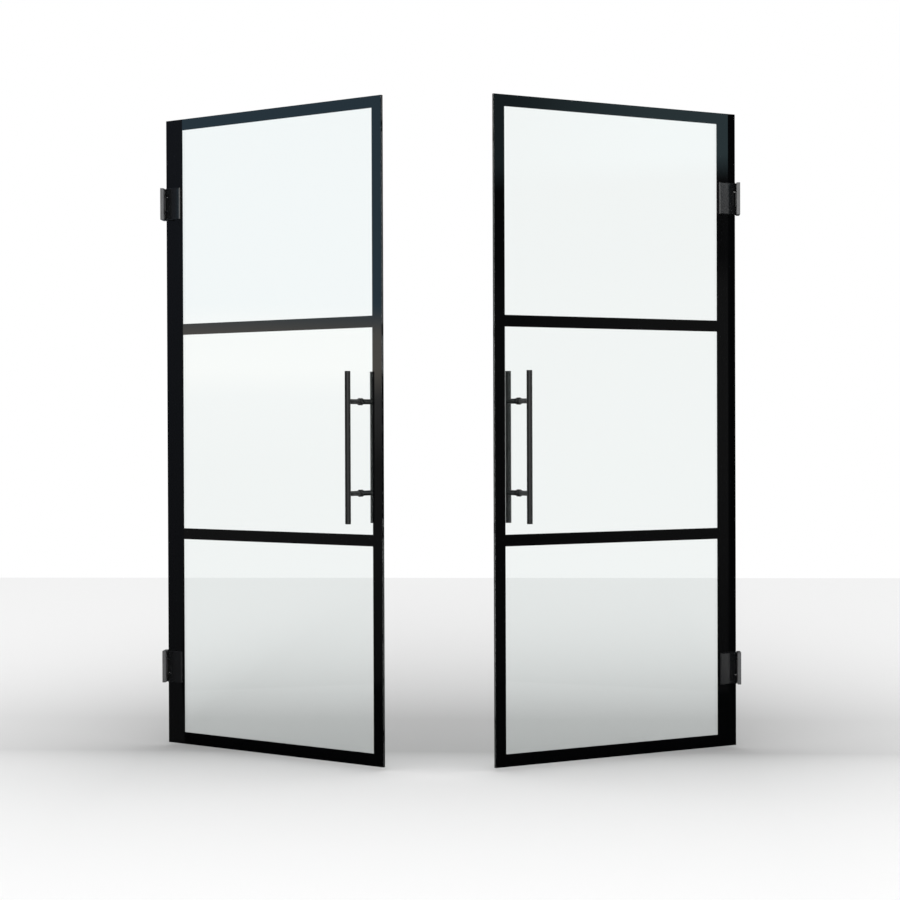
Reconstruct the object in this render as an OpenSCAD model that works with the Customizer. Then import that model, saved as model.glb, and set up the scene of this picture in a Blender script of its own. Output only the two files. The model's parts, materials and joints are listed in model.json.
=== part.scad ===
// Double glass door: two toughened glass leaves with a black printed grid, each hung on two
// double-action wall hinges and fitted with a back-to-back bar handle.
// X runs across the doorway, Y through the wall away from the viewer, Z up. The origin is the
// middle of the lower left wall plate's back face, where it meets the wall.

/* [Leaf] */
// Width of one glass leaf
leaf_w = 944; // [700:1:1100]
// Height of a leaf
leaf_h = 2085; // [1900:1:2400]
// Thickness of the toughened glass
glass_t = 10; // [10:1:15]
// Flat ground along the edges of the glass
arris = 1; // [0.5:0.1:1.5]
// Run of the glass past the pivot, towards the wall
edge_past_pivot = 10.5; // [8:0.1:11]
// Gap between the meeting edges of the closed leaves
meeting_gap = 6.6; // [3:0.1:10]
// Angle at which both leaves stand open towards the viewer
open_angle = 35; // [0:1:85]

/* [Printed grid] */
// Width of the band along the hinge edge
hinge_band = 77; // [72:1:110]
// Width of the band along the meeting edge
meeting_band = 38; // [20:1:60]
// Height of the band along the top edge
top_band = 37; // [20:1:60]
// Height of the band along the bottom edge
bottom_band = 40; // [20:1:60]
// Height of a cross bar
bar_band = 36.5; // [20:0.5:60]
// Number of clear panes, one above the other
pane_count = 3; // [1:1:6]
// Thickness of the fired print
print_t = 0.3; // [0.2:0.1:0.5]

/* [Hinge plates] */
// Height of the clamp plates and of the wall plates
hinge_h = 105; // [98:1:130]
// Reach of the front clamp plate from the pivot across the glass
front_reach = 59.5; // [54:0.5:70]
// Reach of the rear clamp plate, which stays hidden behind the printed band
rear_reach = 53.5; // [50:0.5:70]
// Thickness of a clamp plate
clamp_t = 7.5; // [7:0.5:10]
// Bevel round the outer face of a clamp plate
clamp_bevel = 2.5; // [1:0.5:3]
// Thickness of a gasket between plate and glass
gasket_t = 1.5; // [1.2:0.1:2]
// Set-back of the gaskets from the edges of plates and glass
gasket_inset = 1; // [0.5:0.1:2]
// Height of the lower hinge's middle above the bottom edge of the leaf
lower_hinge_rise = 256.5; // [150:0.5:400]
// Depth of the upper hinge's middle below the top edge of the leaf
upper_hinge_drop = 279.5; // [150:0.5:400]
// Thickness of a wall plate
wall_plate_t = 12; // [8:0.5:14]
// Depth of a wall plate, through the wall
wall_plate_d = 60; // [56:1:90]
// Bevel along the free edges of a wall plate
wall_bevel = 1.5; // [0.5:0.5:3]
// Diameter of the wall screw holes
wall_hole_d = 6.5; // [5:0.5:8]
// Diameter of the countersinks for the wall screws
wall_sink_d = 13; // [10:0.5:15]
// Distance of the wall screws from the upright edges of the plate
wall_hole_side = 10; // [9:0.5:12]
// Distance of the wall screws from the top and bottom edges of the plate
wall_hole_end = 12.5; // [10:0.5:18]

/* [Hinge pivot] */
// Height of the fixed knuckle
knuckle_h = 44; // [38:1:48]
// Height of a lug of the hinge block
lug_h = 11; // [9:0.5:13]
// Reach of the hinge block from the pivot
block_reach = 44; // [43:0.5:48]
// Diameter of the pivot pin
pin_d = 8; // [6:0.5:8]
// Wall of a pin bush
bush_wall = 1; // [0.8:0.1:1.2]
// Thickness of the flange on which the leaf turns
bush_flange_t = 1; // [0.8:0.1:2]
// Step by which the lugs' round ends stand proud of their necks
barrel_step = 0.5; // [0.3:0.1:1]
// Diameter of the detent plunger
plunger_d = 8; // [6:0.5:8]
// Length of the detent plunger
plunger_l = 10.5; // [9:0.5:12]
// Depth of the detent bore, from the knuckle side of the block
detent_bore_l = 24; // [22:0.5:26]
// Wire of the detent spring
spring_wire = 1.1; // [0.8:0.1:1.3]
// Turns of the detent spring
spring_turns = 6; // [4:1:8]
// Thread diameter of the clamp screws
clamp_screw_d = 5; // [4:0.5:5]
// Head diameter of the clamp screws
clamp_head_d = 10; // [8:0.5:10]
// Distance of the clamp screws from the edges of the block
clamp_screw_edge = 8.5; // [7.5:0.5:9]
// Key size of the hexagon sockets
clamp_key = 3; // [2.5:0.5:3]

/* [Handle] */
// Length of a handle bar over its caps
bar_l = 476; // [360:1:700]
// Diameter of a handle bar
bar_d = 18; // [16:0.5:22]
// Wall of the handle tube
bar_wall = 1.5; // [1:0.1:2.5]
// Thickness of an end cap's flat
cap_t = 1.5; // [1:0.1:3]
// Length of an end cap's plug
cap_plug_l = 8; // [4:0.5:15]
// Distance from the middle of the glass to the middle of a bar
bar_standoff = 62.5; // [50:0.5:80]
// Distance of the handle from the meeting edge
handle_inset = 90.5; // [60:0.5:150]
// Height of the handle's middle above the bottom edge of the leaf
handle_rise = 993; // [800:1:1200]
// Distance between the two posts
post_spacing = 286; // [200:1:340]
// Diameter of a post
post_d = 16; // [14:0.5:16]
// Diameter of a collar
collar_d = 22.5; // [21:0.5:28]
// Thickness of a collar
collar_t = 3; // [2:0.5:6]
// Diameter of the holes through the glass
glass_hole_d = 14; // [12:0.5:16]
// Flange diameter of a glass bush
glass_flange_d = 20; // [18:0.5:21]
// Flange thickness of a glass bush
glass_flange_t = 1; // [0.5:0.1:2]
// Thread diameter of the through studs
stud_d = 8; // [6:0.5:8]
// Length of stud inside each post
stud_grip = 20; // [14:0.5:24]
// Thread diameter of the set screws
set_screw_d = 5; // [3:0.5:5]
// Distance of a set screw from the collar
set_screw_offset = 8; // [5:0.5:10]

/* [Fits] */
// Gap between the swinging clamp and the wall plate
swing_gap = 0.8; // [0.5:0.1:2]
// Gap round the fixed knuckle, to the web of the block and to the clamp plates
nose_gap = 1; // [0.6:0.1:2]
// Gap round the hinge block in the glass cut-out
cutout_gap = 1.5; // [1:0.1:3]
// Corner radius of the glass cut-outs
cutout_r = 6; // [3:0.5:8]
// Gap above and below the knuckle in the clamp plates' pockets
pocket_gap = 1.5; // [1.2:0.1:3]
// Running clearance of the pin in its bushes, per side
running_fit = 0.03; // [0.02:0.01:0.08]
// Clearance of fixed round pieces in their holes, per side
seat_fit = 0.02; // [0.01:0.01:0.05]
// Clearance of screws in their clearance holes, per side
screw_gap = 0.2; // [0.1:0.1:0.4]
// End gap of the bush flanges on the knuckle
thrust_gap = 0.1; // [0.05:0.05:0.3]
// Gap between detent plunger and knuckle
follow_gap = 0.3; // [0.3:0.1:0.5]

/* [Hidden] */
$fn = 48;
node = "all";
SIDES = ["left", "right"];
LEVELS = ["upper", "lower"];
FRONT = -1;
REAR = 1;
HINGE_PIECES = [
    "wall_plate", "pivot_pin", "hinge_block", "front_plate",
    "rear_plate", "gaskets", "detent_plunger", "detent_spring"
];
LEAF_PIECES = [
    "glass", "printed_grid", "pin_bushes", "clamp_screws", "front_bar", "rear_bar", "front_posts",
    "rear_posts", "bar_caps", "collars", "glass_bushes", "handle_studs", "set_screws"
];
NODES = concat(
    [for (side = SIDES) for (level = LEVELS) for (piece = HINGE_PIECES) str(side, "_", level, "_", piece)],
    [for (side = SIDES) for (piece = LEAF_PIECES) str(side, "_", piece)]
);

// Finishes
SATIN_BLACK = [0.07, 0.07, 0.075];
PRINT_BLACK = [0.02, 0.02, 0.022];
GLASS_TINT = [0.80, 0.92, 0.90, 0.4];
STEEL = [0.62, 0.63, 0.65];
NYLON = [0.88, 0.88, 0.86];
GASKET_GREY = [0.16, 0.16, 0.16];

// Overshoot of a cut past the face it opens
cut = 1;

// Leaf frame: pivot axis at x = 0, y = 0, glass along +x, front face at -y, bottom edge at z = 0
glass_half = glass_t / 2;
lug_r = glass_half + gasket_t;
clamp_half = lug_r + clamp_t;
pivot_reach = clamp_half + swing_gap;
pivot_from_wall = wall_plate_t + pivot_reach;
free_edge_x = leaf_w - edge_past_pivot;
doorway_w = 2 * (pivot_from_wall + free_edge_x + meeting_gap / 2);
hinge_heights = [leaf_h - upper_hinge_drop, lower_hinge_rise];

// Pivot: the block carries two lugs that reach over and under the knuckle, which is as round as
// the noses of the clamp plates and flush with them
lug_z = knuckle_h / 2 + thrust_gap + bush_flange_t;
block_h = 2 * (lug_z + lug_h);
pocket_r = clamp_half + nose_gap;
web_x = pocket_r;
lug_neck_half = lug_r - barrel_step;
neck_half = sqrt(pow(pocket_r, 2) - pow(clamp_half, 2)) - nose_gap;
bush_d = pin_d + 2 * (running_fit + bush_wall);
bush_flange_inset = 0.5;
bush_flange_d = 2 * (lug_r - bush_flange_inset);
pin_end_inset = 0.5;
pin_chamfer = 0.6;
pin_l = block_h - 2 * pin_end_inset;

// Detent: a coned plunger finds a coned dimple in the knuckle
plunger_tip = clamp_half + follow_gap;
plunger_tip_d = 3;
detent_angles = [-90, 0, 90];
detent_depth = 0.8;
spring_start = plunger_tip + plunger_l;
spring_l = web_x + detent_bore_l - spring_start;
spring_r = (plunger_d - spring_wire) / 2;
spring_sides = 6;
spring_steps = 12;
spring_end_gap = 0.1;

// Clamp plates, gaskets and their screws
pocket_h = knuckle_h + 2 * pocket_gap;
cutout_h = block_h + 2 * cutout_gap;
cutout_x = block_reach + cutout_gap;
clamp_screw_x = [web_x + clamp_screw_edge, block_reach - clamp_screw_edge];
clamp_screw_z = block_h / 2 - clamp_screw_edge;
clamp_thread_skin = 2;
clamp_screw_l = 2 * clamp_half - clamp_thread_skin;
clamp_key_depth = 2.5;
head_inset = 0.2;

// Handle
handle_x = free_edge_x - handle_inset;
post_heights = [handle_rise - post_spacing / 2, handle_rise + post_spacing / 2];
collar_y = glass_half + glass_flange_t;
post_y = collar_y + collar_t;
tube_l = bar_l - 2 * cap_t;
tube_bore_d = bar_d - 2 * bar_wall;
collar_chamfer = 1;
cap_chamfer = 0.6;
set_screw_sink = 0.6;

// Clear panes between the bands
pane_w = leaf_w - hinge_band - meeting_band;
pane_h = (leaf_h - top_band - bottom_band - (pane_count - 1) * bar_band) / pane_count;

function is_drawn(name) = node == "all" || node == name;

// Placement

// The right half of the door is the mirror image of the left half
module on_side(side) {
    if (side == "left") {
        children();
    } else {
        translate([doorway_w, 0, 0]) mirror([1, 0, 0]) children();
    }
}

// Puts a piece from the leaf frame into its leaf, opened towards the viewer
module on_leaf(side) {
    on_side(side)
        translate([pivot_from_wall, 0, -lower_hinge_rise])
            rotate([0, 0, -open_angle])
                children();
}

function hinge_z(level) = level == "upper" ? hinge_heights[0] : hinge_heights[1];

// Puts a piece from a hinge's own middle into its leaf
module on_hinge(side, level) {
    on_leaf(side) translate([0, 0, hinge_z(level)]) children();
}

// Puts a fixed piece from a hinge's own middle on the wall
module on_wall(side, level) {
    on_side(side)
        translate([pivot_from_wall, 0, hinge_z(level) - lower_hinge_rise])
            children();
}

// Turns a revolved piece from +z to the leaf's normal, towards the front or the rear
module along_normal(face) {
    rotate([-90 * face, 0, 0]) children();
}

// Shared shapes

// Stands a flat outline in x and z upright, from y0 over the thickness t
module slab(y0, t) {
    translate([0, y0 + t, 0]) rotate([90, 0, 0]) linear_extrude(t) children();
}

// Rectangle from the origin whose two corners on the +x side are round
module round_end_rect(w, h, r) {
    square([w - r, h]);
    translate([0, r]) square([w, h - 2 * r]);
    for (y = [r, h - r]) translate([w - r, y]) circle(r);
}

// Sheet section from the origin, with its four long edges taken off at 45 degrees
module arris_section(w, t, c) {
    polygon([[c, 0], [w - c, 0], [w, c], [w, t - c], [w - c, t], [c, t], [0, t - c], [0, c]]);
}

// Plate section from the origin, with two edges of its outer face bevelled
module bevel_section(w, t, c) {
    polygon([[c, 0], [w - c, 0], [w, c], [w, t], [0, t], [0, c]]);
}

// Plate with its outer face at y = 0, bevelled on all four sides, centred in z
module bevelled_plate(w, h, t, c) {
    intersection() {
        translate([0, 0, -h / 2]) linear_extrude(h) bevel_section(w, t, c);
        rotate([0, -90, 0])
            translate([-h / 2, 0, -w])
                linear_extrude(w)
                    bevel_section(h, t, c);
    }
}

// Pin along z, centred, with both ends chamfered
module chamfered_pin(d, l, c) {
    r = d / 2;
    rotate_extrude()
        polygon([[0, -l / 2], [r - c, -l / 2], [r, c - l / 2], [r, l / 2 - c], [r - c, l / 2], [0, l / 2]]);
}

// Outline of the hinge cut-outs in the hinge edge of the glass
module hinge_cutouts() {
    for (z = hinge_heights) {
        translate([-edge_past_pivot - cut, z - cutout_h / 2])
            round_end_rect(cutout_x + edge_past_pivot + cut, cutout_h, cutout_r);
    }
}

// Leaf

// Toughened pane with ground edges, hinge cut-outs and two holes for the handle
module glass() {
    color(GLASS_TINT)
        intersection() {
            translate([-edge_past_pivot, -glass_half, 0])
                linear_extrude(leaf_h)
                    arris_section(leaf_w, glass_t, arris);
            translate([-edge_past_pivot, 0, 0])
                rotate([90, 0, 90])
                    linear_extrude(leaf_w)
                        translate([-glass_half, 0])
                            mirror([1, -1])
                                arris_section(leaf_h, glass_t, arris);
            slab(-glass_half - cut, glass_t + 2 * cut)
                difference() {
                    translate([-edge_past_pivot - cut, -cut]) square([leaf_w + 2 * cut, leaf_h + 2 * cut]);
                    hinge_cutouts();
                    for (z = post_heights) translate([handle_x, z]) circle(d = glass_hole_d);
                }
        }
}

// Black ceramic print fired on the front face, a border and cross bars round the clear panes
module printed_grid() {
    color(PRINT_BLACK)
        slab(-glass_half - print_t, print_t)
            difference() {
                translate([arris - edge_past_pivot, arris]) square([leaf_w - 2 * arris, leaf_h - 2 * arris]);
                for (i = [0 : pane_count - 1]) {
                    translate([hinge_band - edge_past_pivot, bottom_band + i * (pane_h + bar_band)])
                        square([pane_w, pane_h]);
                }
                hinge_cutouts();
            }
}

// Hinge pieces fixed to the wall

// Back plate with four countersunk holes and the knuckle that holds the pin
module wall_plate() {
    hole_y = wall_plate_d / 2 - wall_hole_side;
    hole_z = hinge_h / 2 - wall_hole_end;
    sink_h = (wall_sink_d - wall_hole_d) / 2;
    dimple_mouth_d = plunger_tip_d + 4 * detent_depth;
    color(SATIN_BLACK)
        difference() {
            union() {
                translate([-pivot_reach, -wall_plate_d / 2, 0])
                    rotate([0, 0, 90])
                        bevelled_plate(wall_plate_d, hinge_h, wall_plate_t, wall_bevel);
                translate([-pivot_reach - cut, -neck_half, -knuckle_h / 2])
                    cube([pivot_reach + cut, 2 * neck_half, knuckle_h]);
                translate([0, 0, -knuckle_h / 2]) cylinder(r = clamp_half, h = knuckle_h);
            }
            translate([0, 0, -knuckle_h / 2 - cut])
                cylinder(d = pin_d + 2 * seat_fit, h = knuckle_h + 2 * cut);
            for (a = detent_angles) {
                rotate([0, 0, a])
                    translate([clamp_half - detent_depth, 0, 0])
                        rotate([0, 90, 0])
                            cylinder(d1 = plunger_tip_d, d2 = dimple_mouth_d, h = 2 * detent_depth);
            }
            for (y = [-hole_y, hole_y], z = [-hole_z, hole_z]) {
                translate([-pivot_reach - wall_plate_t - cut, y, z])
                    rotate([0, 90, 0])
                        cylinder(d = wall_hole_d, h = wall_plate_t + 2 * cut);
                translate([-pivot_reach - sink_h, y, z])
                    rotate([0, 90, 0])
                        cylinder(d1 = wall_hole_d, d2 = wall_sink_d + 2 * cut, h = sink_h + cut);
            }
        }
}

// Steel pin through the knuckle and both lugs
module pivot_pin() {
    color(STEEL) chamfered_pin(pin_d, pin_l, pin_chamfer);
}

// Hinge pieces that swing with the leaf

// Block in the glass cut-out: a web with the detent bore and two lugs on the pin
module hinge_block() {
    color(SATIN_BLACK)
        difference() {
            union() {
                slab(-lug_r, 2 * lug_r)
                    translate([web_x, -block_h / 2])
                        round_end_rect(block_reach - web_x, block_h, cutout_r - cutout_gap);
                for (z = [-block_h / 2, lug_z]) {
                    translate([0, -lug_neck_half, z]) cube([web_x + cut, 2 * lug_neck_half, lug_h]);
                    translate([0, 0, z]) cylinder(r = lug_r, h = lug_h);
                }
            }
            translate([0, 0, -block_h / 2 - cut])
                cylinder(d = bush_d + 2 * seat_fit, h = block_h + 2 * cut);
            translate([web_x - cut, 0, 0])
                rotate([0, 90, 0])
                    cylinder(d = plunger_d + 2 * running_fit, h = detent_bore_l + cut);
            for (x = clamp_screw_x, z = [-clamp_screw_z, clamp_screw_z]) {
                translate([x, 0, z])
                    rotate([90, 0, 0])
                        cylinder(d = clamp_screw_d + 2 * screw_gap, h = 2 * lug_r + 2 * cut, center = true);
            }
        }
}

// Flanged bushes, one in each lug, on whose flanges the leaf turns
module pin_bushes() {
    r_in = pin_d / 2 + running_fit;
    color(NYLON)
        for (level = LEVELS, up = [0, 1]) {
            translate([0, 0, hinge_z(level)])
                mirror([0, 0, up])
                    translate([0, 0, lug_z])
                        rotate_extrude()
                            polygon([
                                [r_in, -bush_flange_t], [bush_flange_d / 2, -bush_flange_t],
                                [bush_flange_d / 2, 0], [bush_d / 2, 0], [bush_d / 2, lug_h], [r_in, lug_h]
                            ]);
        }
}

// Coned plunger that rides on the knuckle
module detent_plunger() {
    r = plunger_d / 2;
    tip_r = plunger_tip_d / 2;
    color(STEEL)
        translate([plunger_tip, 0, 0])
            rotate([0, 90, 0])
                rotate_extrude()
                    polygon([[0, 0], [tip_r, 0], [r, r - tip_r], [r, plunger_l], [0, plunger_l]]);
}

// A ring of points round the spring wire, at step i of n
function spring_ring(i, n) = let (
    angle = 360 * spring_turns * i / n,
    wire_r = spring_wire / 2,
    run = spring_l - spring_wire - 2 * spring_end_gap,
    x = spring_start + spring_end_gap + wire_r + run * i / n
) [for (k = [0 : spring_sides - 1]) let (
    b = 360 * k / spring_sides,
    r = spring_r - wire_r / 2 + wire_r * cos(b)
) [x + wire_r * sin(b), r * cos(angle), r * sin(angle)]];

// Coil spring behind the plunger
module detent_spring() {
    n = spring_turns * spring_steps;
    m = spring_sides;
    points = [for (i = [0 : n]) each spring_ring(i, n)];
    sides = [for (i = [0 : n - 1], k = [0 : m - 1]) let (j = (k + 1) % m)
        [i * m + k, (i + 1) * m + k, (i + 1) * m + j, i * m + j]];
    first = [for (k = [0 : m - 1]) k];
    last = [for (k = [m - 1 : -1 : 0]) n * m + k];
    color(STEEL) polyhedron(points = points, faces = concat(sides, [first, last]), convexity = 10);
}

// Front clamp plate from above: round about the pivot towards the wall, bevelled at its free end
module clamp_section(reach) {
    outer_y = -clamp_half - cut;
    intersection() {
        union() {
            circle(clamp_half);
            translate([0, -clamp_half]) square([reach + cut, clamp_half]);
        }
        polygon([
            [outer_y, -lug_r], [outer_y, outer_y], [reach - clamp_bevel - cut, outer_y],
            [reach, clamp_bevel - clamp_half], [reach, -lug_r]
        ]);
    }
}

// Front clamp plate from the side, with its top and bottom edges bevelled past the outer face
module clamp_profile() {
    outer_y = -clamp_half - cut;
    half = hinge_h / 2;
    flat = half - clamp_bevel - cut;
    polygon([
        [-half, 0], [-half, clamp_bevel - clamp_half], [-flat, outer_y],
        [flat, outer_y], [half, clamp_bevel - clamp_half], [half, 0]
    ]);
}

// Clamp plate on the front side, with a round pocket that clears the knuckle
module pocketed_plate(reach) {
    length = clamp_half + reach + 2 * cut;
    difference() {
        intersection() {
            translate([0, 0, -hinge_h / 2 - cut]) linear_extrude(hinge_h + 2 * cut) clamp_section(reach);
            translate([reach + cut, 0, 0]) rotate([0, -90, 0]) linear_extrude(length) clamp_profile();
        }
        translate([0, 0, -pocket_h / 2]) cylinder(r = pocket_r, h = pocket_h);
    }
}

// Plain plate on the front, with blind threads for the clamp screws
module front_plate() {
    color(SATIN_BLACK)
        difference() {
            pocketed_plate(front_reach);
            for (x = clamp_screw_x, z = [-clamp_screw_z, clamp_screw_z]) {
                translate([x, clamp_thread_skin - clamp_half, z])
                    along_normal(REAR)
                        cylinder(d = clamp_screw_d + 2 * seat_fit, h = clamp_t);
            }
        }
}

// Plate on the rear, countersunk for the clamp screws
module rear_plate() {
    sink_d = clamp_screw_d + 2 * screw_gap;
    sink_h = (clamp_head_d - sink_d) / 2 + head_inset;
    color(SATIN_BLACK)
        difference() {
            mirror([0, 1, 0]) pocketed_plate(rear_reach);
            for (x = clamp_screw_x, z = [-clamp_screw_z, clamp_screw_z]) {
                translate([x, lug_r - cut, z])
                    along_normal(REAR)
                        cylinder(d = sink_d, h = clamp_t + 2 * cut);
                translate([x, clamp_half - sink_h, z])
                    along_normal(REAR)
                        cylinder(d1 = sink_d, d2 = sink_d + 2 * (sink_h + cut), h = sink_h + cut);
            }
        }
}

// Countersunk screws with hexagon sockets, driven from the rear through the block
module clamp_screws() {
    r = clamp_screw_d / 2;
    head_r = clamp_head_d / 2;
    head_h = head_r - r;
    top = clamp_half - head_inset;
    length = clamp_screw_l - head_inset;
    color(STEEL)
        for (level = LEVELS, x = clamp_screw_x, z = [-clamp_screw_z, clamp_screw_z]) {
            translate([x, top, hinge_z(level) + z])
                along_normal(FRONT)
                    difference() {
                        rotate_extrude()
                            polygon([[0, 0], [head_r, 0], [r, head_h], [r, length], [0, length]]);
                        translate([0, 0, -cut])
                            cylinder(d = clamp_key / cos(30), h = clamp_key_depth + cut, $fn = 6);
                    }
        }
}

// Soft sheets between the clamp plates and the glass, open round the block
module gaskets() {
    color(GASKET_GREY)
        for (face = [FRONT, REAR]) {
            skin = face == FRONT ? print_t : 0;
            reach = face == FRONT ? front_reach : rear_reach;
            slab(face == FRONT ? -lug_r : glass_half, gasket_t - skin)
                difference() {
                    translate([gasket_inset - edge_past_pivot, gasket_inset - hinge_h / 2])
                        square([edge_past_pivot + reach - 2 * gasket_inset, hinge_h - 2 * gasket_inset]);
                    translate([-edge_past_pivot - cut, -cutout_h / 2])
                        round_end_rect(cutout_x + edge_past_pivot + cut, cutout_h, cutout_r);
                }
        }
}

// Handle

// Round tube, upright, on the front or the rear
module handle_bar(face) {
    color(SATIN_BLACK)
        translate([handle_x, face * bar_standoff, handle_rise - tube_l / 2])
            difference() {
                cylinder(d = bar_d, h = tube_l);
                translate([0, 0, -cut]) cylinder(d = tube_bore_d, h = tube_l + 2 * cut);
            }
}

// Round posts from the collars to the bar, coped to the tube and bored for the stud
module handle_posts(face) {
    color(SATIN_BLACK)
        for (z = post_heights) {
            translate([handle_x, 0, z])
                difference() {
                    along_normal(face)
                        translate([0, 0, post_y])
                            cylinder(d = post_d, h = bar_standoff - post_y);
                    translate([0, face * bar_standoff, 0])
                        cylinder(d = bar_d + 2 * seat_fit, h = post_d + 2 * cut, center = true);
                    along_normal(face)
                        translate([0, 0, post_y - cut])
                            cylinder(d = stud_d + 2 * seat_fit, h = stud_grip + cut);
                    if (face == REAR) {
                        translate([0, post_y + set_screw_offset, -post_d])
                            cylinder(d = set_screw_d + 2 * seat_fit, h = post_d);
                    }
                }
        }
}

// Flat caps plugged into the ends of the tubes
module bar_caps() {
    r = bar_d / 2;
    plug_r = tube_bore_d / 2 - seat_fit;
    color(SATIN_BLACK)
        for (face = [FRONT, REAR], down = [0, 1]) {
            translate([handle_x, face * bar_standoff, handle_rise])
                mirror([0, 0, down])
                    translate([0, 0, tube_l / 2])
                        rotate_extrude()
                            polygon([
                                [0, -cap_plug_l], [plug_r, -cap_plug_l], [plug_r, 0], [r, 0],
                                [r, cap_t - cap_chamfer], [r - cap_chamfer, cap_t], [0, cap_t]
                            ]);
        }
}

// Turned collars between the posts and the glass
module collars() {
    r = collar_d / 2;
    bore_r = stud_d / 2 + screw_gap;
    color(SATIN_BLACK)
        for (z = post_heights, face = [FRONT, REAR]) {
            translate([handle_x, 0, z])
                along_normal(face)
                    translate([0, 0, collar_y])
                        rotate_extrude()
                            polygon([
                                [bore_r, 0], [r, 0], [r, collar_t - collar_chamfer],
                                [r - collar_chamfer, collar_t], [bore_r, collar_t]
                            ]);
        }
}

// Flanged plastic bushes that keep studs and collars off the glass
module glass_bushes() {
    bore_r = stud_d / 2 + screw_gap;
    sleeve_r = glass_hole_d / 2 - screw_gap;
    flange_r = glass_flange_d / 2;
    color(GASKET_GREY)
        for (z = post_heights, face = [FRONT, REAR]) {
            translate([handle_x, 0, z])
                along_normal(face)
                    rotate_extrude()
                        polygon([
                            [bore_r, screw_gap], [sleeve_r, screw_gap], [sleeve_r, glass_half],
                            [flange_r, glass_half], [flange_r, collar_y], [bore_r, collar_y]
                        ]);
        }
}

// Threaded studs through the glass, from post to post
module handle_studs() {
    stud_l = 2 * (post_y + stud_grip - pin_end_inset);
    color(STEEL)
        for (z = post_heights) {
            translate([handle_x, 0, z]) rotate([90, 0, 0]) chamfered_pin(stud_d, stud_l, pin_chamfer);
        }
}

// Headless screws from below that lock the rear posts on the studs
module set_screws() {
    top = -stud_d / 2 - seat_fit;
    bottom = set_screw_sink - post_d / 2;
    color(STEEL)
        for (z = post_heights) {
            translate([handle_x, post_y + set_screw_offset, z + bottom])
                cylinder(d = set_screw_d, h = top - bottom);
        }
}

for (side = SIDES) {
    if (is_drawn(str(side, "_glass"))) on_leaf(side) glass();
    if (is_drawn(str(side, "_printed_grid"))) on_leaf(side) printed_grid();
    if (is_drawn(str(side, "_pin_bushes"))) on_leaf(side) pin_bushes();
    if (is_drawn(str(side, "_clamp_screws"))) on_leaf(side) clamp_screws();
    if (is_drawn(str(side, "_front_bar"))) on_leaf(side) handle_bar(FRONT);
    if (is_drawn(str(side, "_rear_bar"))) on_leaf(side) handle_bar(REAR);
    if (is_drawn(str(side, "_front_posts"))) on_leaf(side) handle_posts(FRONT);
    if (is_drawn(str(side, "_rear_posts"))) on_leaf(side) handle_posts(REAR);
    if (is_drawn(str(side, "_bar_caps"))) on_leaf(side) bar_caps();
    if (is_drawn(str(side, "_collars"))) on_leaf(side) collars();
    if (is_drawn(str(side, "_glass_bushes"))) on_leaf(side) glass_bushes();
    if (is_drawn(str(side, "_handle_studs"))) on_leaf(side) handle_studs();
    if (is_drawn(str(side, "_set_screws"))) on_leaf(side) set_screws();
    for (level = LEVELS) {
        hinge = str(side, "_", level, "_");
        if (is_drawn(str(hinge, "wall_plate"))) on_wall(side, level) wall_plate();
        if (is_drawn(str(hinge, "pivot_pin"))) on_wall(side, level) pivot_pin();
        if (is_drawn(str(hinge, "hinge_block"))) on_hinge(side, level) hinge_block();
        if (is_drawn(str(hinge, "front_plate"))) on_hinge(side, level) front_plate();
        if (is_drawn(str(hinge, "rear_plate"))) on_hinge(side, level) rear_plate();
        if (is_drawn(str(hinge, "gaskets"))) on_hinge(side, level) gaskets();
        if (is_drawn(str(hinge, "detent_plunger"))) on_hinge(side, level) detent_plunger();
        if (is_drawn(str(hinge, "detent_spring"))) on_hinge(side, level) detent_spring();
    }
}
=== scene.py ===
import json
from math import cos, pi, radians, sin

import bmesh
import bpy
from mathutils import Matrix, Vector


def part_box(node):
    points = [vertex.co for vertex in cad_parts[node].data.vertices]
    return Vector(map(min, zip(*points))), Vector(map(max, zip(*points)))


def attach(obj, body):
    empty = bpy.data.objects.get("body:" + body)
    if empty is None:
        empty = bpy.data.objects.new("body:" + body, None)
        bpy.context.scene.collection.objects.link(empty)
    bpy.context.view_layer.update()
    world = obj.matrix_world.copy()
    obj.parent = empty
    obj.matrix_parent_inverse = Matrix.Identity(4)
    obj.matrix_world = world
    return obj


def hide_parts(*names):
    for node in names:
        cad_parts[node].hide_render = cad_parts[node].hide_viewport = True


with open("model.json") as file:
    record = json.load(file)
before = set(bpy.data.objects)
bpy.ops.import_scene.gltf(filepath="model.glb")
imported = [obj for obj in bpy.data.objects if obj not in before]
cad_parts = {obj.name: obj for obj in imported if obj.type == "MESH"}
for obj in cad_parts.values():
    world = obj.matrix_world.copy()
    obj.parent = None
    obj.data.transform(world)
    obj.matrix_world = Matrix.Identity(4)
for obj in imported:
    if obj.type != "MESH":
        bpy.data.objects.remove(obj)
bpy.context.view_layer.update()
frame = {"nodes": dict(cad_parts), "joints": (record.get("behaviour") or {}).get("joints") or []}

# Camera
# The viewpoint is seven and a half metres in front of the door, a little right of its middle and about
# a metre above the floor. The long lens keeps the upright edges almost parallel.
scene = bpy.context.scene
scene.view_settings.view_transform = "Standard"
camera_place = (1.4333, -7.4965, 0.796)
camera_yaw = radians(3.56729)
camera_pitch = radians(-0.55625)
camera_roll = radians(-0.19845)
camera_data = bpy.data.cameras.new("camera")
camera_data.sensor_width = 36
camera_data.lens = 90.146
camera = bpy.data.objects.new("camera", camera_data)
camera.matrix_world = (
    Matrix.Translation(camera_place)
    @ Matrix.Rotation(camera_yaw, 4, "Z")
    @ Matrix.Rotation(pi / 2 + camera_pitch, 4, "X")
    @ Matrix.Rotation(camera_roll, 4, "Z")
)
scene.collection.objects.link(camera)
scene.camera = camera


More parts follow.
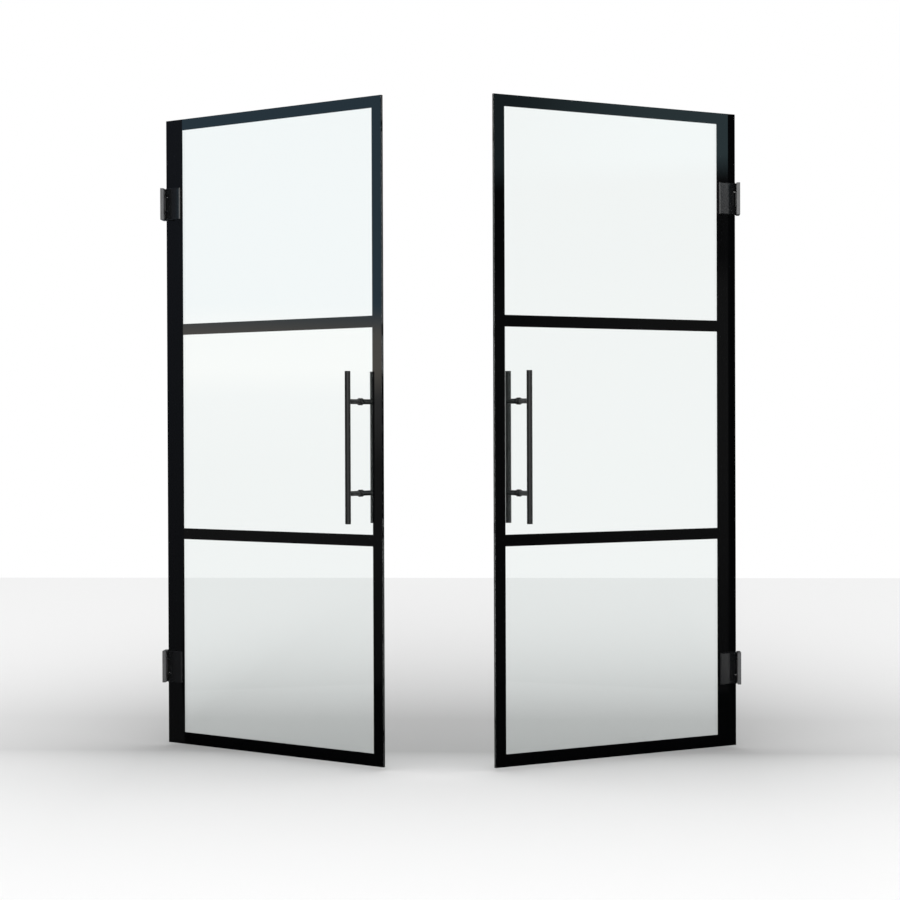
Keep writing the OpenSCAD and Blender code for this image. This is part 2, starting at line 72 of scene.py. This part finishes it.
# Wall plates
# Solid brass plates with a knuckle, which carry the leaves and have four countersunk holes for fixing.
# The coat is a satin black with a fine orange-peel grain, the deep black of the clamps on the knuckle. On
# the plate it
# is painted a lighter graphite: a painted highlight for the light that falls on the plate's front.
class Socket:
    """A socket of a node tree. Sums, differences and products add Math nodes, and node() adds any other."""

    def __init__(self, tree, output=None):
        self.tree = tree
        self.output = output

    def node(self, kind, settings=None, inputs=None, pick=0):
        made = self.tree.nodes.new(kind if "Node" in kind else "ShaderNode" + kind)
        for name, value in (settings or {}).items():
            if name == "stops":
                self.set_stops(made.color_ramp.elements, value)
            else:
                setattr(made, name, value)
        for name, value in (inputs or {}).items():
            if isinstance(value, (Socket, list)):
                for source in value if isinstance(value, list) else [value]:
                    self.tree.links.new(source.output, made.inputs[name])
            else:
                made.inputs[name].default_value = value
        return Socket(self.tree, made.outputs[pick] if len(made.outputs) else None)

    @staticmethod
    def set_stops(elements, stops):
        while len(elements) < len(stops):
            elements.new(1)
        for element, (place, colour) in zip(elements, stops):
            element.position = place
            element.color = (*colour, 1)

    def math(self, operation, a, b=0.0):
        return self.node("Math", {"operation": operation}, {0: a, 1: b})

    def __add__(self, other):
        return self.math("ADD", self, other)

    def __sub__(self, other):
        return self.math("SUBTRACT", self, other)

    def __rsub__(self, other):
        return self.math("SUBTRACT", other, self)

    def __mul__(self, other):
        return self.math("MULTIPLY", self, other)

    __radd__ = __add__
    __rmul__ = __mul__

    def mix(self, a, b):
        """Colour a where this socket is 0, colour b where it is 1."""
        return self.node("Mix", {"data_type": "RGBA"}, {0: self, 6: a, 7: b}, pick=2)


def new_material(name):
    """An empty material and a Socket that adds nodes to it."""
    material = bpy.data.materials.new(name)
    material.use_nodes = True
    material.node_tree.nodes.clear()
    return material, Socket(material.node_tree)


def coordinate(at, axis):
    """The place along X, Y or Z, in metres."""
    return at.node("SeparateXYZ", inputs={0: at.node("TexCoord", pick="Object")}, pick=axis)


def noise(at, scale, detail=3.0):
    """Even noise from 0 to 1, with scale cells to the metre."""
    place = at.node("TexCoord", pick="Object")
    return at.node("TexNoise", inputs={"Vector": place, "Scale": scale, "Detail": detail})


def clouded(at, colour):
    """A faint change of tone about a colour."""
    darker, lighter = ((*[part * share for part in colour], 1) for share in (0.85, 1.15))
    return noise(at, 14, 4).mix(darker, lighter)


def end_in(at, inputs):
    """Ends a material in one Principled shader."""
    at.node("OutputMaterial", inputs={"Surface": at.node("BsdfPrincipled", inputs=inputs)})


def coat_on_metal(at, tone, roughness, grain, mirror=0.5):
    """Ends a material as paint on metal, with a patchy sheen and an orange-peel grain."""
    peel = at.node("Bump", inputs={"Strength": 0.25, "Distance": 0.0001, "Height": noise(at, grain, 2)})
    patchy = roughness - 0.06 + 0.12 * noise(at, 55)
    end_in(at, {"Base Color": tone, "Roughness": patchy, "Normal": peel, "Specular IOR Level": mirror})


def dress(node, material):
    """Gives a CAD node its finish."""
    slots = frame["nodes"][node].data.materials
    slots.clear()
    slots.append(material)


SIDES = ("left", "right")
LEVELS = ("upper", "lower")
pivot_x = {joint["child"].split("_")[0]: joint["pos_m"][0] for joint in frame["joints"]}
door_w = pivot_x["left"] + pivot_x["right"]
plate_t = 0.0122
deep_black = (0.006, 0.0063, 0.007)
# Painted highlight: this graphite stands for light on the black plate's front, not for a second coat.
painted_highlight_grey = (0.095, 0.096, 0.098)
plate_finish_painted_highlight, at = new_material("wall_plate_coat")
across = coordinate(at, "X")
from_back = at.math("MINIMUM", across, door_w - across)
# The plate, within plate_t of its back, gets the painted highlight, and the knuckle stays black.
plate_highlight_mask = at.math("LESS_THAN", from_back, plate_t)
black_and_painted_highlight = plate_highlight_mask.mix(clouded(at, deep_black), clouded(at, painted_highlight_grey))
coat_on_metal(at, black_and_painted_highlight, roughness=0.30, grain=900)
for side in SIDES:
    for level in LEVELS:
        dress(f"{side}_{level}_wall_plate", plate_finish_painted_highlight)


# Pivot pins and detent plungers
# Ground stainless steel: the pins are pressed into the knuckles and the plungers slide in the blocks.
# The pins are turned, so that their sheen runs in fine rings.
def turned_steel(name, roughness):
    """Bare steel with fine level marks, as turning leaves them on an upright pin."""
    material, at = new_material(name)
    place = at.node("TexCoord", pick="Object")
    squeezed = at.node("Mapping", inputs={"Vector": place, "Scale": (60, 60, 4000)})
    rings = at.node("TexNoise", inputs={"Vector": squeezed, "Scale": 1.0, "Detail": 2.0})
    tone = noise(at, 30).mix((0.50, 0.51, 0.53, 1), (0.62, 0.63, 0.65, 1))
    marks = at.node("Bump", inputs={"Strength": 0.15, "Distance": 0.00003, "Height": rings})
    end_in(at, {"Base Color": tone, "Metallic": 1.0, "Roughness": roughness + 0.1 * rings, "Normal": marks})
    return material


ground_steel = turned_steel("ground_steel", roughness=0.22)
for side in SIDES:
    for level in LEVELS:
        dress(f"{side}_{level}_pivot_pin", ground_steel)
        dress(f"{side}_{level}_detent_plunger", ground_steel)

# Hinge blocks and clamp plates
# Forged brass in a deep satin black: the block fills the cut-out of the glass and carries the lugs,
# and the plates hold the glass between them. The coat is smoother than on the wall plates.
satin_black, at = new_material("satin_black_coat")
coat_on_metal(at, clouded(at, deep_black), roughness=0.24, grain=700)
for side in SIDES:
    for level in LEVELS:
        for piece in ("hinge_block", "front_plate", "rear_plate"):
            dress(f"{side}_{level}_{piece}", satin_black)


# Clamp screws
# Countersunk steel screws with hexagon sockets, zinc plated, four to a hinge. They are driven from the
# rear through plate and block into the front plate.
def new_tree(name, sizes):
    """An empty geometry tree on points, with named sizes, a turn and a finish, and its group input."""
    tree = bpy.data.node_groups.new(name, "GeometryNodeTree")
    tree.interface.new_socket("Places", in_out="INPUT", socket_type="NodeSocketGeometry")
    for size in sizes:
        tree.interface.new_socket(size, in_out="INPUT", socket_type="NodeSocketFloat")
    tree.interface.new_socket("Turn", in_out="INPUT", socket_type="NodeSocketVector")
    tree.interface.new_socket("Finish", in_out="INPUT", socket_type="NodeSocketMaterial")
    tree.interface.new_socket("Pieces", in_out="OUTPUT", socket_type="NodeSocketGeometry")
    source = tree.nodes.new("NodeGroupInput")
    return Socket(tree), {socket.name: Socket(tree, socket) for socket in source.outputs}


def raised(at, piece, height):
    """The piece moved up by a height."""
    lift = at.node("CombineXYZ", inputs={"Z": height})
    return at.node("GeometryNodeTransform", inputs={"Geometry": piece, "Translation": lift})


def hexagon_cut(at, given, body):
    """The body less a hexagon socket in its head, which lies at z = 0."""
    corner_r = given["Key Size"] * (0.5 / cos(pi / 6))
    key = at.node("GeometryNodeMeshCylinder", inputs={
        "Vertices": 6, "Radius": corner_r, "Depth": 2.0 * given["Key Depth"],
    })
    return at.node("GeometryNodeMeshBoolean", {"operation": "DIFFERENCE"}, {"Mesh 1": body, "Mesh 2": key})


def set_on_points(at, given, one):
    """Ends a tree: the piece on every point, turned, made real and given its finish."""
    turn = at.node("FunctionNodeEulerToRotation", inputs={"Euler": given["Turn"]})
    many = at.node("GeometryNodeInstanceOnPoints", inputs={
        "Points": given["Places"], "Instance": one, "Rotation": turn,
    })
    real = at.node("GeometryNodeRealizeInstances", inputs={"Geometry": many})
    done = at.node("GeometryNodeSetMaterial", inputs={"Geometry": real, "Material": given["Finish"]})
    at.node("NodeGroupOutput", inputs={"Pieces": done})


def run_tree(name, at, side, places, turn, sizes, replaced):
    """Runs a tree on places in a leaf's frame, as one plain mesh that rides with the leaf."""
    mesh = bpy.data.meshes.new(name)
    mesh.from_pydata([leaf_place[side] @ Vector(place) for place in places], [], [])
    points = bpy.data.objects.new(name, mesh)
    scene.collection.objects.link(points)
    modifier = points.modifiers.new(name, "NODES")
    modifier.node_group = at.tree
    for item in at.tree.interface.items_tree:
        if item.in_out == "INPUT" and item.name != "Places":
            modifier[item.identifier] = {**sizes, "Turn": turn, "Finish": plated_steel}[item.name]
    made = bpy.data.meshes.new_from_object(points.evaluated_get(bpy.context.evaluated_depsgraph_get()))
    bpy.data.objects.remove(points)
    piece = bpy.data.objects.new(name, made)
    scene.collection.objects.link(piece)
    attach(piece, f"{side}_leaf")
    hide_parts(*replaced)


# A leaf's own frame: x runs from the pivot along the glass, y to the rear and z up from its foot.
open_angle = radians(35)
leaf_turn = {"left": -open_angle, "right": open_angle}
foot_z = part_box("left_glass")[0].z
left_leaf = Matrix.Translation((pivot_x["left"], 0, foot_z)) @ Matrix.Rotation(leaf_turn["left"], 4, "Z")
mirrored = Matrix.Translation((door_w, 0, 0)) @ Matrix.Scale(-1, 4, (1, 0, 0))
leaf_place = {"left": left_leaf, "right": mirrored @ left_leaf}

hinge_heights = (1.8055, 0.2565)
screw_columns = (0.0235, 0.0355)
screw_rows = (-0.0256, 0.0256)
head_y = 0.0138
screw_places = [(x, head_y, z + row) for z in hinge_heights for x in screw_columns for row in screw_rows]
screw_sizes = {
    "Head Diameter": 0.010, "Thread Diameter": 0.005, "Length": 0.0258,
    "Key Size": 0.003, "Key Depth": 0.0025,
}
clamp_screw, given = new_tree("clamp_screw", screw_sizes)
head_r = given["Head Diameter"] * 0.5
thread_r = given["Thread Diameter"] * 0.5
# Head and shank overlap: the cone ends inside the shank, and the shank starts inside the cone.
tip_r = 0.8 * thread_r
head = clamp_screw.node("GeometryNodeMeshCone", inputs={
    "Vertices": 48, "Radius Bottom": head_r, "Radius Top": tip_r, "Depth": head_r - tip_r,
})
shank_start = 0.5 * (head_r - thread_r)
shank_l = given["Length"] - shank_start
shank = clamp_screw.node("GeometryNodeMeshCylinder", inputs={
    "Vertices": 48, "Radius": thread_r, "Depth": shank_l,
})
shank = raised(clamp_screw, shank, shank_start + 0.5 * shank_l)
blank = clamp_screw.node("GeometryNodeMeshBoolean", {"operation": "UNION"}, {"Mesh 2": [head, shank]})
set_on_points(clamp_screw, given, hexagon_cut(clamp_screw, given, blank))
plated_steel = turned_steel("plated_steel", roughness=0.3)
for side in SIDES:
    from_rear = (pi / 2, 0, leaf_turn[side])
    run_tree(
        f"{side}_countersunk_screws", clamp_screw, side, screw_places, from_rear, screw_sizes,
        [f"{side}_clamp_screws"],
    )

# Detent springs
# Coil springs of hard-drawn wire in the bores of the blocks, pressed between the plunger and the end of
# the bore. They are wound in six turns.
spring_start = 0.02545
spring_places = [(spring_start, 0, z) for z in hinge_heights]
spring_sizes = {"Coil Radius": 0.003175, "Wire Radius": 0.00055, "Length": 0.0129, "Turns": 6.0}
coil, given = new_tree("coil_spring", spring_sizes)
helix = coil.node("GeometryNodeCurveSpiral", inputs={
    "Resolution": 32, "Rotations": given["Turns"], "Start Radius": given["Coil Radius"],
    "End Radius": given["Coil Radius"], "Height": given["Length"],
})
wire = coil.node("GeometryNodeCurvePrimitiveCircle", inputs={
    "Resolution": 12, "Radius": given["Wire Radius"],
})
wound = coil.node("GeometryNodeCurveToMesh", inputs={
    "Curve": helix, "Profile Curve": wire, "Fill Caps": True,
})
set_on_points(coil, given, wound)
along_turn = {"left": leaf_turn["left"], "right": pi + leaf_turn["right"]}
for side in SIDES:
    along_leaf = (0, pi / 2, along_turn[side])
    run_tree(
        f"{side}_coil_springs", coil, side, spring_places, along_leaf, spring_sizes,
        [f"{side}_{level}_detent_spring" for level in LEVELS],
    )


# Pin bushes
# Moulded nylon with a flange, one in each lug, on which the leaf turns about the pin.
# Natural nylon is milky, with a soft sheen and slight mould flow.
def moulded_nylon(name, darker, lighter, roughness):
    """Nylon with a slight flow in its tone and its sheen."""
    material, at = new_material(name)
    flow = noise(at, 90).mix((*darker, 1), (*lighter, 1))
    end_in(at, {"Base Color": flow, "Roughness": roughness + 0.14 * noise(at, 220)})
    return material


natural_nylon = moulded_nylon("natural_nylon", (0.70, 0.69, 0.64), (0.80, 0.79, 0.75), roughness=0.38)
for side in SIDES:
    dress(f"{side}_pin_bushes", natural_nylon)

# Gaskets
# Die-cut black rubber sheet, which lies between each clamp plate and the glass and is pressed flat by
# the screws. It is matt, with a fine sheet grain.
rubber, at = new_material("gasket_rubber")
sheet_grain = noise(at, 1200, 2)
rubber_tone = noise(at, 60).mix((0.012, 0.012, 0.012, 1), (0.022, 0.022, 0.021, 1))
rubber_bump = at.node("Bump", inputs={"Strength": 0.4, "Distance": 0.0001, "Height": sheet_grain})
end_in(at, {"Base Color": rubber_tone, "Roughness": 0.72 + 0.16 * sheet_grain, "Normal": rubber_bump})
for side in SIDES:
    for level in LEVELS:
        dress(f"{side}_{level}_gaskets", rubber)

# Glass leaves
# Clear toughened float glass, ten millimetres thick, with ground and polished edges. Float glass is a
# little green, deeper where light runs along the pane to an edge, and toughening leaves a faint roller
# wave. Lamps shine through it, so the floor keeps only a pale shadow of the panes.
face_tint = (0.918, 0.950, 0.941, 1)
edge_tint = (0.62, 0.80, 0.76, 1)
lamp_tint = (0.955, 0.975, 0.970, 1)
roller_pitch = 0.28
for side in SIDES:
    clear_glass, at = new_material(f"{side}_clear_glass")
    face_normal = (-sin(leaf_turn[side]), cos(leaf_turn[side]), 0)
    facing = at.node("VectorMath", {"operation": "DOT_PRODUCT"}, {
        0: at.node("TexCoord", pick="Normal"), 1: face_normal,
    }, pick="Value")
    on_edge = 1 - at.math("ABSOLUTE", facing)
    wave = at.math("SINE", coordinate(at, "Z") * (2 * pi / roller_pitch)) + noise(at, 5, 1)
    bump = at.node("Bump", inputs={"Strength": 0.04, "Distance": 0.0004, "Height": wave})
    glazing = at.node("BsdfPrincipled", inputs={
        "Base Color": on_edge.mix(face_tint, edge_tint), "Roughness": 0.012 * noise(at, 8),
        "IOR": 1.5, "Transmission Weight": 1.0, "Normal": bump,
    })
    lamp_rays = at.node("LightPath", pick="Is Shadow Ray")
    open_to_lamps = at.node("BsdfTransparent", inputs={"Color": lamp_tint})
    surface = at.node("MixShader", inputs={0: lamp_rays, 1: glazing, 2: open_to_lamps})
    at.node("OutputMaterial", inputs={"Surface": surface})
    dress(f"{side}_glass", clear_glass)


# Printed grid
# Black ceramic enamel, screen-printed on the front face and fired in with the toughening, so that it
# melts a little into the glass and laps its ground edges. It is deep black and glossy, with a slight
# unevenness from the screen, and its seat in the glass mirrors nothing.
def ink(at):
    """The enamel's black, uneven by the screen."""
    return noise(at, 9).mix((0.0010, 0.0011, 0.0013, 1), (0.0016, 0.0017, 0.0019, 1))


enamel, at = new_material("black_enamel")
ripple = at.node("Bump", inputs={"Strength": 0.03, "Distance": 0.0003, "Height": noise(at, 6, 1)})
end_in(at, {"Base Color": ink(at), "Roughness": 0.03 + 0.04 * noise(at, 40), "IOR": 1.5, "Normal": ripple})
seat, at = new_material("enamel_seat")
end_in(at, {"Base Color": ink(at), "Roughness": 0.9, "Specular IOR Level": 0.0})
seat_y = -0.0051
fired_depth = 0.0001
arris = 0.0011
arris_lap = 0.0009
glass_edges = ((0, -0.0105, 0.9335), (2, 0.0, 2.085))
for side in SIDES:
    form = bmesh.new()
    form.from_mesh(frame["nodes"][f"{side}_printed_grid"].data)
    bmesh.ops.remove_doubles(form, verts=form.verts, dist=1e-6)
    to_leaf = leaf_place[side].inverted()
    seated = set()
    for vert in form.verts:
        place = to_leaf @ vert.co
        lap = 0.0
        for axis, low, high in glass_edges:
            if not low + arris < place[axis] < high - arris:
                place[axis] += arris_lap if place[axis] > low + arris else -arris_lap
                lap = arris_lap
        if place.y > seat_y:
            place.y += fired_depth + lap
            seated.add(vert)
        vert.co = leaf_place[side] @ place
    for face in form.faces:
        face.material_index = int(seated.issuperset(face.verts))
    grid_mesh = bpy.data.meshes.new(f"{side}_fired_grid")
    form.to_mesh(grid_mesh)
    form.free()
    grid_mesh.materials.append(enamel)
    grid_mesh.materials.append(seat)
    grid = bpy.data.objects.new(f"{side}_fired_grid", grid_mesh)
    scene.collection.objects.link(grid)
    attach(grid, f"{side}_leaf")
    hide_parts(f"{side}_printed_grid")

# Handle bars, posts, collars and caps
# Round steel tube with flat caps on turned posts, back to back through the glass. Every piece has the
# same charcoal powder coat, finer and duller than the hinge paint.
HANDLE_PIECES = ("front_bar", "rear_bar", "front_posts", "rear_posts", "bar_caps", "collars")
charcoal = (0.010, 0.011, 0.011)
powder_coat, at = new_material("charcoal_powder_coat")
coat_on_metal(at, clouded(at, charcoal), roughness=0.42, grain=1600, mirror=0.42)
for side in SIDES:
    for piece in HANDLE_PIECES:
        dress(f"{side}_{piece}", powder_coat)

# Glass bushes
# Flanged sleeves of black nylon, moulded and pushed into the holes of the glass from both sides.
# They keep the studs and the collars off the glass.
black_nylon = moulded_nylon("black_nylon", (0.010, 0.010, 0.011), (0.016, 0.016, 0.017), roughness=0.42)
for side in SIDES:
    dress(f"{side}_glass_bushes", black_nylon)

# Handle studs and set screws
# Plated steel studs run through the glass from post to post. A headless screw with a hexagon socket
# locks each rear post from below.
handle_x = 0.843
post_heights = (0.850, 1.136)
set_screw_y = 0.017
set_screw_drop = 0.0074
set_screw_places = [(handle_x, set_screw_y, z - set_screw_drop) for z in post_heights]
set_screw_sizes = {"Thread Diameter": 0.005, "Length": 0.00338, "Key Size": 0.0025, "Key Depth": 0.0018}
set_screw, given = new_tree("set_screw", set_screw_sizes)
barrel = set_screw.node("GeometryNodeMeshCylinder", inputs={
    "Vertices": 32, "Radius": given["Thread Diameter"] * 0.5, "Depth": given["Length"],
})
barrel = raised(set_screw, barrel, given["Length"] * 0.5)
set_on_points(set_screw, given, hexagon_cut(set_screw, given, barrel))
for side in SIDES:
    dress(f"{side}_handle_studs", plated_steel)
    from_below = (0, 0, leaf_turn[side])
    run_tree(
        f"{side}_headless_screws", set_screw, side, set_screw_places, from_below, set_screw_sizes,
        [f"{side}_set_screws"],
    )


# Floor
# A wide matt floor a centimetre below the leaves. It is almost white far off, and painted shade greys it
# softly about the foot of the door, where a shadow would lie. It hides from mirrors, which see the cards
# instead.
def flat_panel(name, corners, material):
    """A stage panel through four corners."""
    mesh = bpy.data.meshes.new(name)
    mesh.from_pydata(corners, [], [(0, 1, 2, 3)])
    mesh.materials.append(material)
    panel = bpy.data.objects.new(name, mesh)
    scene.collection.objects.link(panel)
    return panel


def level_corners(x0, x1, y0, y1, z):
    return [(x0, y0, z), (x1, y0, z), (x1, y1, z), (x0, y1, z)]


def grey(value):
    return (value, value, value)


foot_gap = 0.010
floor_z = foot_z - foot_gap
middle_x = door_w / 2
floor_side, floor_front, floor_rear = 9.0, -9.5, 8.45
# Painted shade: the floor darkens towards grey(0.49) about the foot of the door, fading in front, behind and
# beside it.
painted_shade_front, painted_shade_rear = -0.12, 0.7
beside_reach, behind_reach = 1.2, 2.6
near_share, near_rate = 0.35, 6.0
far_share, far_rate = 0.65, 0.8
pale_floor, at = new_material("pale_floor")
beside = at.math("MAXIMUM", at.math("ABSOLUTE", coordinate(at, "X") - middle_x) - middle_x, 0.0)
behind = at.math("MAXIMUM", coordinate(at, "Y") - painted_shade_rear, 0.0)
before = at.math("MAXIMUM", painted_shade_front - coordinate(at, "Y"), 0.0)
near_shade = near_share * at.math("EXPONENT", before * -near_rate)
far_shade = far_share * at.math("EXPONENT", before * -far_rate)
thinning = at.math("EXPONENT", beside * (-1 / beside_reach) + behind * (-1 / behind_reach))
painted_shade = (near_shade + far_shade) * thinning
# The pale floor with the painted shade mixed in.
floor_tone_painted_shade = painted_shade.mix((*grey(0.97), 1), (*grey(0.49), 1))
matt_floor = at.node("BsdfDiffuse", inputs={"Color": floor_tone_painted_shade})
at.node("OutputMaterial", inputs={"Surface": matt_floor})
floor_corners = level_corners(middle_x - floor_side, middle_x + floor_side, floor_front, floor_rear, floor_z)
floor = flat_panel("floor", floor_corners, pale_floor)
floor.visible_glossy = False


# Studio cards
# Panels that only mirrored light sees. Those on both sides give the print and the metal their sheen,
# and a narrow dark one by each pair of wall plates keeps the hinges black. Those behind and below show
# only in the glass, and keep the panes clear in every pose.
def card(name, corners, glow, fade=None, through_glass=False):
    """A panel with one glow, or with stops of it over its height, that may fade along Y.
    One that is seen through glass still shows only to light that a piece has mirrored before."""
    material, at = new_material(name)
    if isinstance(glow, list):
        rise = at.node("MapRange", inputs={
            "Value": coordinate(at, "Z"), "From Min": card_low, "From Max": card_high,
        })
        glow = at.node("ValToRGB", {"stops": glow}, {0: rise})
    if fade:
        start, end, rest = fade
        dim = at.node("MapRange", inputs={
            "Value": coordinate(at, "Y"), "From Min": start, "From Max": end, "To Min": 1.0, "To Max": rest,
        })
        glow = dim.mix((0, 0, 0, 1), glow)
    mirrored_before = at.math("MINIMUM", at.node("LightPath", pick="Glossy Depth"), 1.0)
    surface = at.node("MixShader", inputs={
        0: mirrored_before, 1: at.node("BsdfTransparent"), 2: at.node("Emission", inputs={"Color": glow}),
    })
    at.node("OutputMaterial", inputs={"Surface": surface})
    panel = flat_panel(name, corners, material)
    panel.visible_camera = False
    panel.visible_diffuse = False
    panel.visible_shadow = False
    panel.visible_transmission = through_glass
    return panel


def upright_corners(x, y0, y1, z0, z1):
    return [(x, y0, z0), (x, y1, z0), (x, y1, z1), (x, y0, z1)]


def light(panel, pieces, state):
    """Lets a panel light only the named CAD pieces (INCLUDE) or all but them (EXCLUDE)."""
    linked = bpy.data.collections.new(f"{panel.name}_pieces")
    for side in SIDES:
        for piece in pieces:
            linked.objects.link(frame["nodes"][f"{side}_{piece}"])
    for member in linked.collection_objects:
        member.light_linking.link_state = state
    panel.light_linking.receiver_collection = linked


card_low, card_high, plate_high, rear_high = floor_z, 3.0, 2.2, 7.0
left_x, right_x = -1.5, door_w + 1.5
left_front, glow_front, right_front = -5.0, -0.4, -1.7
left_end, right_end, rear_y = 0.3, 0.05, 1.5
fade_start, fade_end, faded = -0.8, -1.4, 0.35
left_card = card("left_card", upright_corners(left_x, left_end, left_front, card_low, card_high), [
    (0.0, grey(0.04)), (0.28, grey(0.14)), (0.365, grey(0.50)), (0.40, (1.4, 1.3, 1.15)),
    (0.445, (1.3, 1.25, 1.15)), (0.48, (0.40, 0.68, 0.90)), (1.0, (0.38, 0.64, 0.86)),
])
light(left_card, HANDLE_PIECES, "EXCLUDE")
card("right_card", upright_corners(right_x, glow_front, right_front, card_low, card_high), [
    (0.0, grey(0.04)), (0.35, grey(0.11)), (0.50, grey(0.10)), (0.54, grey(0.03)), (0.63, grey(0.05)),
    (0.66, (0.46, 0.70, 0.78)), (1.0, (0.46, 0.70, 0.78)),
], fade=(fade_start, fade_end, faded))
right_glow = card("right_glow", upright_corners(right_x, right_end, glow_front, card_low, card_high), [
    (0.0, grey(2.9)), (1.0, grey(3.5)),
])
light(right_glow, ["glass"], "EXCLUDE")

plate_gap = 0.0005
before_left, before_right, behind_plates = -0.055, -0.027, 0.12
left_corners = upright_corners(-plate_gap, before_left, behind_plates, card_low, plate_high)
card("left_hinge_card", left_corners, [(0.0, grey(0.05)), (0.7, (0.12, 0.14, 0.18))])
right_corners = upright_corners(door_w + plate_gap, before_right, behind_plates, card_low, plate_high)
card("right_hinge_card", right_corners, [(0.0, grey(0.0)), (1.0, grey(0.01))])

rear_left, rear_right = -3, 5
rear_span = [
    (rear_left, card_low), (rear_right, card_low), (rear_right, rear_high), (rear_left, rear_high),
]
rear_corners = {
    "left_rear": upright_corners(left_x, rear_y, left_end, card_low, rear_high),
    "right_rear": upright_corners(right_x, rear_y, right_end, card_low, rear_high),
    "rear_card": [(x, rear_y, z) for x, z in rear_span],
}
white, pale = (*grey(1.0), 1), (*grey(0.45), 1)
for name, corners in rear_corners.items():
    light(card(name, corners, white, through_glass=True), ["glass"], "INCLUDE")
ground_lift = 0.001
ground_corners = level_corners(x0=-6, x1=8, y0=-6, y1=6, z=floor_z + ground_lift)
light(card("ground_card", ground_corners, pale), ["glass"], "INCLUDE")


# Light
# Even white light from all round, a broad lamp overhead and a wide soft box far in front of the door.
# The backdrop is plain white to the eye, in mirrors and through the panes, where the lamps don't show.
def lamp(name, place, target, width, height, power):
    """A soft lamp that faces the target."""
    data = bpy.data.lights.new(name, "AREA")
    data.shape = "RECTANGLE"
    data.size = width
    data.size_y = height
    data.energy = power
    made = bpy.data.objects.new(name, data)
    made.location = place
    made.rotation_euler = (Vector(target) - Vector(place)).to_track_quat("-Z", "Y").to_euler()
    made.visible_transmission = False
    scene.collection.objects.link(made)


ambient = 0.905
world = bpy.data.worlds.new("studio")
world.use_nodes = True
world.node_tree.nodes.clear()
at = Socket(world.node_tree)
seen = at.node("LightPath", pick="Is Camera Ray")
for ray in ("Is Glossy Ray", "Is Transmission Ray"):
    seen = at.math("MAXIMUM", seen, at.node("LightPath", pick=ray))
all_round = at.node("Background", inputs={"Color": white, "Strength": ambient})
backdrop = at.node("Background", inputs={"Color": white, "Strength": 1.0})
at.node("OutputWorld", inputs={"Surface": at.node("MixShader", inputs={0: seen, 1: all_round, 2: backdrop})})
scene.world = world
door_middle = (middle_x, -0.2, 0.8)
lamp("overhead", (middle_x, -1.0, 6.0), door_middle, width=5.0, height=5.0, power=60)
lamp("soft_box", (middle_x + 0.4, -10.0, 2.2), door_middle, width=6.5, height=2.6, power=150)
